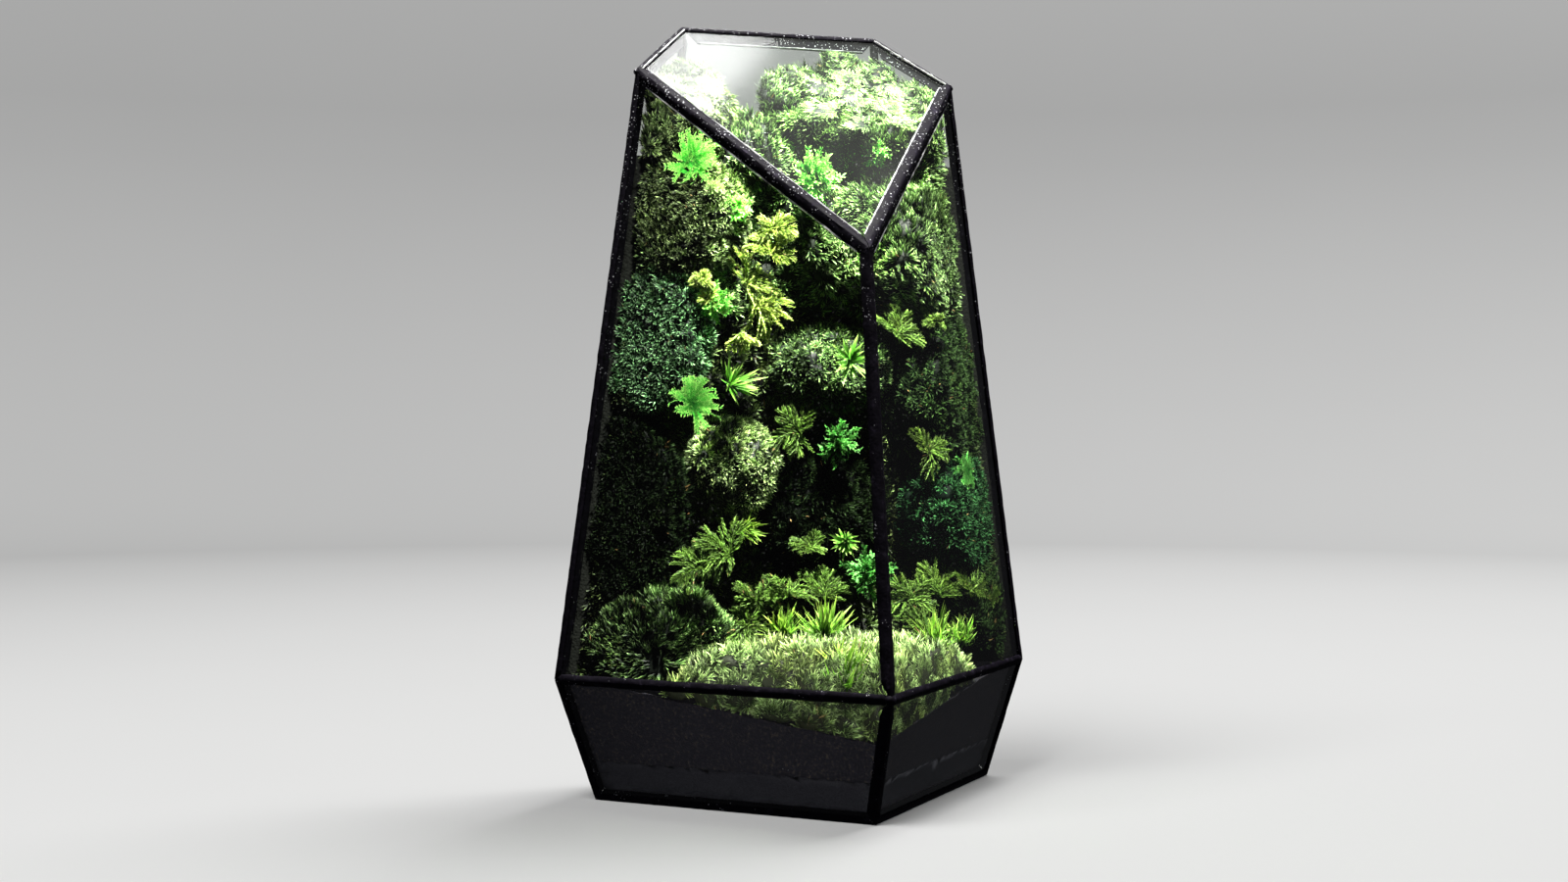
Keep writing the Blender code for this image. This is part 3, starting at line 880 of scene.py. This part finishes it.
def fern(plant, accent):
    """A few fronds that fan out from one root, towards the side that the plant faces."""
    rng = plant.rng
    axis = accent.axis
    count = 6 if accent.radius > 11 * MM else 4
    lean = math.hypot(axis[0], axis[2])
    fan = 2.5 - 1.6 * min(lean / 0.6, 1.0)
    turn = math.atan2(axis[2], axis[0]) + np.linspace(-fan, fan, count) + rng.normal(size=count) * 0.15
    outward = turned(across(axis, np.array((1.0, 0.0, 0.0))), across(axis, UP), turn)
    aim = unit(outward + axis * rng.uniform(0.2, 0.7, (count, 1)))
    lift = across(aim, -0.5 * axis - 0.5 * UP + rng.normal(size=aim.shape) * 0.2)
    base = accent.centre - outward * 0.2 * accent.radius + rng.normal(size=(count, 3)) * 0.5 * MM
    length = accent.radius * rng.uniform(0.9, 1.25, count)
    fronds(plant, base, aim, lift, length, rng.uniform(0.2, 0.9, count), accent.radius * 0.75)


def rosette(plant, accent):
    """Narrow pointed leaves that stand out like a star."""
    r = accent.radius
    centres, axes = (np.tile(vector, (5, 1)) for vector in (accent.centre, accent.axis))
    tufted(plant, centres, axes, 10, (0.75 * r, 1.15 * r), (0.9 * MM, 1.4 * MM),
           (0.3, 1.45), (-0.3, 0.3), 0.85, 2, 0.5 * MM)


def dyed_tuft(plant, accent):
    """A round tuft of curled strap leaves, each with pairs of small lobes near its end."""
    rng = plant.rng
    r = accent.radius
    leaves, pairs = 84, 5
    aim = accent.axis * rng.uniform(0.1, 1.2, (leaves, 1)) + unit(rng.normal(size=(leaves, 3))) * 0.9
    aim = unit(aim)
    side = across(aim, rng.normal(size=(leaves, 3)))
    length = r * rng.uniform(0.65, 1.05, leaves)
    curl = rng.uniform(-1.3, 1.3, leaves)
    base = accent.centre - accent.axis * 0.2 * r + rng.normal(size=(leaves, 3)) * 0.12 * r
    tone = np.clip(accent.tone + rng.uniform(-0.25, 0.25, leaves), 0.1, 1)
    plant.add_leaves(base, aim, side, length, rng.uniform(1.1, 1.8, leaves) * MM, curl, 3, tone)
    places, headings = arc(base, aim, np.cross(side, aim), length, curl, np.linspace(0.45, 0.95, pairs))
    for hand in (-1, 1):
        way = headings + hand * side[:, None] * 0.9 + rng.normal(size=headings.shape) * 0.2
        way = unit(way).reshape(-1, 3)
        lobes = len(way)
        plant.add_leaves(places.reshape(-1, 3), way, across(way, np.repeat(side, pairs, axis=0)),
                         rng.uniform(1.6, 2.8, lobes) * MM, rng.uniform(0.8, 1.3, lobes) * MM,
                         rng.uniform(-0.5, 1.0, lobes), 1, np.repeat(tone, pairs), (0.35, 1.0))


def grass(plant, accent):
    """Pointed blades that fan up out of the moss."""
    r = accent.radius
    tufted(plant, (accent.centre - accent.axis * 0.6 * r)[None], accent.axis[None], 90, (0.8 * r, 1.6 * r),
           (0.75 * MM, 1.25 * MM), (0.02, 1.1), (-0.5, 0.6), accent.tone, 3, 0.16 * r)


# The small plants: each row is what Accent is given.
VALLEY_FERNS = (
    ("fern_valley", 0.44, 0.88, 0, 7.6),
    ("fern_valley", 0.4, 0.7, 0, 8.4),
    ("fern_valley", 0.1, 0.47, 0, 12.6, (0.9, -0.9, 0.5)),
    ("fern_valley", 0.22, 0.31, 0, 14, (0.9, -1, -0.2)),
    ("fern_valley", 0.06, 0.09, 0, 6, (0.6, -1, -0.5)),
    ("moss_upper_left", 0.47, -0.02, -5, 3.3),
    ("moss_middle_left", 0.88, 0.81, -6, 3.3),
)
LOW_LEFT_FERNS = (
    ("fern_low_left", 0.35, 0.68, 0, 11.6, (-0.4, -1, 0.2)),
    ("fern_low_left", 0.1, 0.56, 0, 9.8, (-0.5, -1, 0.3)),
    ("fern_low_left", 0.62, 0.24, 0, 9.1),
    ("fern_low_left", 0.9, 0.29, 0, 9.2),
    ("fern_low_left", 0.52, -0.02, 0, 8.2),
    ("moss_low_centre", 0.29, 0.25, 5, 5.9),
    ("grass_tuft", 0.33, 0.88, -28, 10, (0.1, -1, 0.8)),
)
RIGHT_FERNS = (
    ("moss_low_centre", 0.26, 1.01, -3, 9.3, (-0.3, -1, 0.1)),
    ("moss_upper_right", 0.46, -0.13, 1, 10.5, (0.5, -1, 0.7)),
    ("moss_middle_right", 0.27, 0.95, -5, 3.4),
    ("moss_middle_right", 0.2, 0.09, -3, 8.6, (0.3, -1, 0.1)),
    ("dyed_tuft_right", 1.09, 0.04, -2, 9.4),
    ("moss_low_right", 0.21, -0.2, -4, 11, (0.2, -1, 0.9)),
    ("moss_floor_right", 0.15, 0.67, -2, 10.4, (0.3, -1, 0.8)),
    ("moss_floor_right", 0.67, 0.56, -12, 8.8, (0.3, -1, 0.8)),
    ("moss_carpet", 0.8, 1.17, -68, 9.3, (0, -1, 0.9)),
)
STARS = (
    ("moss_centre", 0.4, 0.6, 14, 9.6, (-0.25, -1, 0.15)),
    ("moss_low_centre", 0.56, 0.3, 5, 5.9, (-0.5, -1, -0.3)),
    ("dyed_tuft_left", 1, 0.86, -6, 11, (0.6, -0.8, 0.5)),
)
DYED_LEFT = (
    ("dyed_tuft_left", 0.12, 0.61, 2, 11, (0.1, -0.9, 0.5)),
    ("moss_top_left", 0.39, -0.04, 2, 11.5, (0.1, -0.9, 1), 0.95),
    ("moss_upper_right", 0.05, 0.99, -12, 11, (0, -0.8, 1), 0.65),
    ("moss_top_right", 0.55, 0.09, -7, 5.6, (0, -1, 0.5), 0.7),
    ("fern_valley", -0.13, 0.32, -11, 7.5, (0.1, -1, 0.3), 0.6),
    ("moss_upper_left", 0.79, 0.59, -9, 7.2, (0.3, -1, 0.5), 0.95),
)
DYED_RIGHT = (
    ("dyed_tuft_right", 0.36, 0.54, 0, 10, (-0.1, -1, 0.3)),
    ("moss_low_centre", 0.53, 0.94, 1, 8.5),
    ("moss_low_right", 0.57, 0.9, -11, 7.5),
)
GRASSES = (
    ("moss_carpet", 0.43, 0.93, -16, 13, (0, -0.45, 0.9), 1),
    ("grass_tuft", 0.2, 0.37, -14, 9, (-0.1, -0.4, 1)),
    ("moss_carpet", 0.83, 1.15, -58, 11, (0.1, -0.4, 1)),
    ("moss_floor_right", -0.06, 0.33, 7, 9.4, (0, -0.4, 1)),
    ("grass_tuft", -0.33, 0.41, -23, 8.3, (-0.2, -0.4, 1)),
    ("fern_low_left", 0.64, 0.91, -12, 6.7, (0.6, -0.8, -0.1)),
)


def grown(name, seed, grow, rows, tint, slot, *replaced):
    """One piece made of all the small plants of a group."""
    plant = Foliage(seed)
    for row in rows:
        grow(plant, Accent(*row))
    plant.piece(name, LEAF[tint], slot, *replaced)


def accent_plants():
    """The looser plants. The ferns on the right stand for no solid."""
    grown("fern_valley_fronds", 600, fern, VALLEY_FERNS, "fern", "fern_moss", "fern_valley")
    grown("fern_low_left_fronds", 601, fern, LOW_LEFT_FERNS, "frond", "fern_moss", "fern_low_left")
    grown("fern_right_fronds", 602, fern, RIGHT_FERNS, "frond", "fern_moss")
    grown("star_shoots", 610, rosette, STARS, "star", "haircap_moss", "star_moss")
    grown("dyed_moss_left", 620, dyed_tuft, DYED_LEFT, "dyed", "dyed_moss", "dyed_tuft_left")
    grown("dyed_moss_right", 621, dyed_tuft, DYED_RIGHT, "jade", "dyed_moss", "dyed_tuft_right")
    grown("grass_blades", 630, grass, GRASSES, "grass", "grassy_moss", "grass_tuft")


# ---- solder seams


def lumpy(points, outward, seed):
    """The uneven skin of hand-run solder."""
    lumps = waves(points, 4.0 * MM, seed) * 0.09 + waves(points, 1.3 * MM, seed + 1) * 0.05
    return points + outward * (lumps * MM)[:, None]


def solder_piece(name, points, faces, material, *replaced):
    mesh = mesh_of(name, points, faces)
    mesh.set_sharp_from_angle(angle=math.radians(50))
    finished(name, mesh, material, "black_solder", *replaced)


def bead(name, seed):
    """A hand-run solder bead in place of a seam's plain bar."""
    points, faces = sliced(name, 2.8 * MM)
    points = lumpy(points, normals_of(points, faces), seed)
    solder_piece(name.replace("seam_", "solder_"), points, faces, SOLDER, name)


def rod(first, last, ring_x, ring_y):
    """A thin uneven rod, open at its ends, as points and triangles."""
    steps = int(norm(last - first) / (2 * MM))
    line = first + np.linspace(0.01, 0.99, steps)[:, None] * (last - first)
    radius = RIM * (1 + 0.4 * waves(line, 4 * MM, 90))
    spokes = turned(ring_x, ring_y, np.arange(ROD_SIDES) * math.tau / ROD_SIDES)
    points = (line[:, None] + spokes[None] * radius[:, None, None]).reshape(-1, 3)
    here = np.arange((steps - 1) * ROD_SIDES)
    beside = here - here % ROD_SIDES + (here + 1) % ROD_SIDES
    above, opposite = here + ROD_SIDES, beside + ROD_SIDES
    return points, np.stack((here, beside, opposite, here, opposite, above), axis=1).reshape(-1, 3)


def rims(name):
    """The bright line along each side of a seam, outside: bare metal, and partly a painted highlight along
    the edge.
    """
    corners = corners_of(name)
    middle, way = long_axis(corners)
    outward = across(way, middle - MIDDLE)
    side = np.cross(way, outward)
    rods = []
    for hand in (-1, 1):
        reach = hand * (corners - middle) @ side
        edge = corners[reach > reach.max() - 0.12 * MM]
        along = edge @ way
        rods.append(rod(edge[along.argmin()], edge[along.argmax()], outward, side))
    (left, left_faces), (right, right_faces) = rods
    faces = np.concatenate((left_faces, right_faces + len(left)))
    solder_piece(name.replace("seam_", "rims_"), np.concatenate((left, right)), faces, BARE_AND_GLINT)


def seam_end(name, top):
    """The middle of a seam's upper or lower end."""
    corners = corners_of(name)
    height = corners[:, 2]
    edge = height.max() if top else height.min()
    return corners[np.abs(height - edge) < 3 * MM].mean(axis=0)


def knot(name, centre, radius, seed):
    """A small blob of solder where seams meet."""
    bm = bmesh.new()
    bmesh.ops.create_icosphere(bm, subdivisions=3, radius=1.0)
    ball, faces = arrays(bm)
    size = radius * (1 + 0.12 * waves(ball, 1.2, seed))
    solder_piece(name, lumpy(centre + ball * size[:, None], ball, seed), faces, SOLDER)


def knots():
    """Knots at the top, waist and base of every corner, the largest at the front."""
    for seed, corner in enumerate(("front", "right", "back_right", "back_left", "left"), start=400):
        upper, lower = "seam_upper_" + corner, "seam_lower_" + corner
        radius = 2.4 * MM if corner == "front" else 1.6 * MM
        waist = (seam_end(upper, False) + seam_end(lower, True)) / 2
        knot("knot_top_" + corner, seam_end(upper, True), radius, seed)
        knot("knot_waist_" + corner, waist, radius, seed + 10)
        knot("knot_base_" + corner, seam_end(lower, False) + UP * radius, radius, seed + 20)


# ---- stage, lights and camera


def paper_material():
    """Pale matt paper, very faintly clouded."""
    nodes = Nodes("studio_paper")
    cloud = nodes.span(nodes.noise(3.0, 2.0), 0.3, 0.7, 0.0, 0.04)
    colour = nodes.mix(cloud, (0.80, 0.80, 0.79), (0.6, 0.6, 0.6))
    return nodes.output(nodes.surface(colour, 0.85))


def stage():
    """A round pale floor that curves up into a wall."""
    profile = [(0.0, 0.0), (1.7, 0.0)]
    turn, reach = 0.6, 2.3
    for k in range(1, 13):
        angle = math.radians(90) * k / 12
        profile.append((reach - turn + turn * math.sin(angle), turn - turn * math.cos(angle)))
    profile.append((reach, 3.0))
    bm = bmesh.new()
    corners = [bm.verts.new((x, 0, z)) for x, z in profile]
    edges = [bm.edges.new(pair) for pair in zip(corners, corners[1:])]
    bmesh.ops.spin(bm, geom=corners + edges, cent=(0, 0, 0), axis=(0, 0, 1), angle=math.tau, steps=96)
    bmesh.ops.remove_doubles(bm, verts=bm.verts, dist=1e-4)
    mesh = bpy.data.meshes.new("studio_floor")
    bm.to_mesh(mesh)
    bm.free()
    mesh.shade_smooth()
    floor = placed("studio_floor", mesh)
    mesh.materials.append(paper_material())
    floor.visible_diffuse = False
    floor.visible_glossy = False


def lamp(name, place, target, size, power, colour, lit, cone=None, shadows=None):
    """A soft lamp that the camera doesn't see: a rectangle, or a spot if its cone's angle is given.

    It lights one group. Everything casts shadows in its light, or only the group shadows does.
    """
    light = bpy.data.lights.new(name, "SPOT" if cone else "AREA")
    if cone:
        light.shadow_soft_size = size
        light.spot_size = math.radians(cone)
        light.spot_blend = 0.9
    else:
        light.shape = "RECTANGLE"
        light.size, light.size_y = size
    light.energy = power
    light.color = colour
    holder = placed(name, light)
    holder.location = place
    holder.rotation_euler = (Vector(target) - Vector(place)).to_track_quat("-Z", "Y").to_euler()
    holder.visible_camera = False
    holder.light_linking.receiver_collection = lit
    if shadows:
        holder.light_linking.blocker_collection = shadows


def group(name, belongs):
    """The meshes whose names pass a test, as a collection for a lamp."""
    collection = bpy.data.collections.new(name)
    for thing in bpy.context.scene.objects:
        if thing.type == "MESH" and belongs(thing.name):
            collection.objects.link(thing)
    return collection


def lights():
    """A key for the plants alone, weak fill for the case, and the studio's own light on the paper."""
    metal = ("solder_", "knot_", "rims_")
    bedding = ("carpet_moss", "soil", "foam_board")
    paper = group("lit_paper", lambda name: name == "studio_floor")
    case = group("lit_case", lambda name: name != "studio_floor")
    solid = group("lit_solid", lambda name: name != "studio_floor" and "_pane" not in name)
    plants = group("lit_plants", lambda name: name in solid.objects and not name.startswith(metal))
    bed = group("lit_bed", lambda name: name in bedding)
    middle = tuple(MIDDLE)
    warm, white, cool = (1.0, 1.0, 0.94), (1.0, 1.0, 1.0), (0.93, 0.96, 1.0)
    aim = (0.0, AXIS_Y - 0.02, 0.17)
    lamp("key", (0.11, AXIS_Y - 0.35, 1.17), aim, 0.02, 1300, warm, plants, 13, plants)
    lamp("key_above", (0.02, AXIS_Y - 0.10, 1.15), aim, (0.1, 0.1), 30, warm, case)
    lamp("veil", (0.01, AXIS_Y + 0.065, 0.62), (-0.05, AXIS_Y, 0.31), (0.10, 0.14), 0.5, white, case)
    lamp("fill_low", (-0.3, -1.1, 0.15), (0, AXIS_Y - 0.08, 0.04), 0.15, 400, white, bed, 11, plants)
    lamp("fill_front", (-0.8, -1.3, 0.9), middle, (0.8, 0.8), 0.7, cool, case)
    lamp("fill_back", (0.5, 1.4, 0.9), middle, (0.8, 0.8), 40.0, white, solid)
    lamp("studio_left", (-1.2, -0.6, 2.4), (0, 0.3, 0), (1.4, 1.4), 46.0, white, paper)
    lamp("studio_right", (1.2, 0.6, 2.4), (0, -0.3, 0), (1.4, 1.4), 46.0, white, paper)
    world = bpy.data.worlds.new("studio_air")
    world.use_nodes = True
    sky = world.node_tree.nodes["Background"]
    sky.inputs["Color"].default_value = (0.9, 0.93, 1.0, 1)
    sky.inputs["Strength"].default_value = 0.04
    bpy.context.scene.world = world
    bpy.context.scene.view_settings.view_transform = "Standard"


def camera():
    """A long view from a little left of the front edge, level with the case's middle."""
    turn, rise = math.radians(-19.5), math.radians(1.0)
    distance, height, shift = 0.942, 0.1528, -0.0060
    right = Vector((math.cos(turn), math.sin(turn), 0))
    back = Vector((math.sin(turn) * math.cos(rise), -math.cos(turn) * math.cos(rise), math.sin(rise)))
    up = right.cross(-back)
    holder = placed("camera", bpy.data.cameras.new("camera"))
    holder.data.lens = 49.1
    holder.data.clip_start = 0.01
    holder.location = Vector((0, AXIS_Y, height)) + right * shift + back * distance
    holder.rotation_euler = Matrix((right, up, back)).transposed().to_euler()
    bpy.context.scene.camera = holder


# ---- the whole


def build():
    camera()
    stage()
    clear = glass_material("clear_glass", (0.985, 0.995, 0.985), 0.35)
    hazy = glass_material("hazy_glass", (0.96, 0.985, 0.965), 0.4, 0.02, 0.12)
    for name, node in sorted(NODES.items()):
        if "_pane" in name:
            node.data.materials[0] = hazy if name == "top_pane" else clear
    for k, name in enumerate(sorted(n for n in NODES if n.startswith("seam_"))):
        bead(name, 200 + 3 * k)
        # painted highlight: the bright rims go only on the top seams, where the light falls
        if name.startswith("seam_top_"):
            rims(name)
    for k, (name, (habit, tint)) in enumerate(CUSHIONS.items()):
        cushion(name, habit, tint, 300 + 20 * k)
    knots()
    carpet()
    foam_block()
    parting = box_of("moss_middle_right")[1][2]
    backing_moss("backing_low", "fill", 0.0, parting, 3 * MM, 75)
    backing_moss("backing_high", "deep", parting, 1.0, 7 * MM, 76)
    soil()
    board()
    accent_plants()
    lights()


build()
